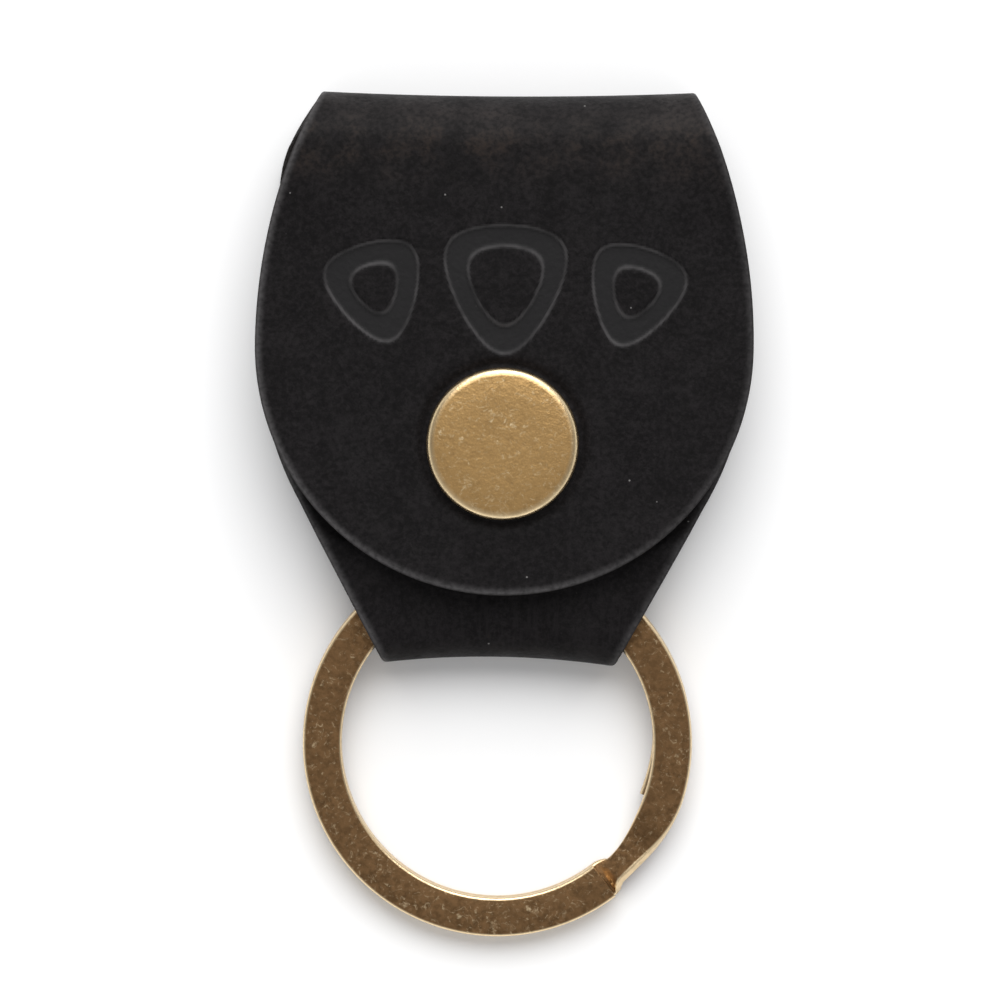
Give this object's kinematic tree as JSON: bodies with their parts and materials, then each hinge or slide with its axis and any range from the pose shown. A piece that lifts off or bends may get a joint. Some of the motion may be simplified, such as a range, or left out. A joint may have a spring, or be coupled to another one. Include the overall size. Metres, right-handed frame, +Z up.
{
  "type": "pick holder",
  "caption": "Leather pick pocket with a snap flap folded over it and a flat split ring held in its neck, lying on its back.",
  "frame": {"origin": "centre of the holder's outline on the plane that it lies on, midway between the top fold and the far edge of the key ring", "axes": "+Z up out of the flap's face, +Y along the holder towards the top fold, +X across it to the right seen from the flap's side"},
  "size_m": [0.0408, 0.0694, 0.0105],
  "materials": {
    "leather": "black full grain leather, waxed, satin, with grey rubbed edges",
    "thread": "waxed black thread",
    "antique_brass": "antique brass, mottled, satin, bright on its edges",
    "spring_wire": "plain drawn spring wire",
    "ring_bronze": "dark antique bronze, worn to bright brass on its edges"
  },
  "bodies": {
    "holder": {"back_panel": "leather", "bottom_fold": "leather", "pocket_panel": "leather", "left_stitching": "thread", "right_stitching": "thread", "snap_stud": "antique_brass", "snap_eyelet": "antique_brass"},
    "flap": {"flap": "leather", "snap_cap": "antique_brass", "snap_cap_post": "antique_brass", "snap_socket": "antique_brass", "snap_spring": "spring_wire"},
    "key_ring": {"key_ring": "ring_bronze"}
  },
  "joints": [
    {"name": "flap_hinge", "type": "hinge", "parent": "holder", "child": "flap", "pos_m": [0, 0.03471, 0.00455], "axis": [-1, 0, 0], "range_deg": [0, 165]},
    {"name": "ring_spin", "type": "hinge", "parent": "holder", "child": "key_ring", "pos_m": [0, -0.01869, 0.00241], "axis": [0, -0.0832, 0.9965], "continuous": true}
  ]
}
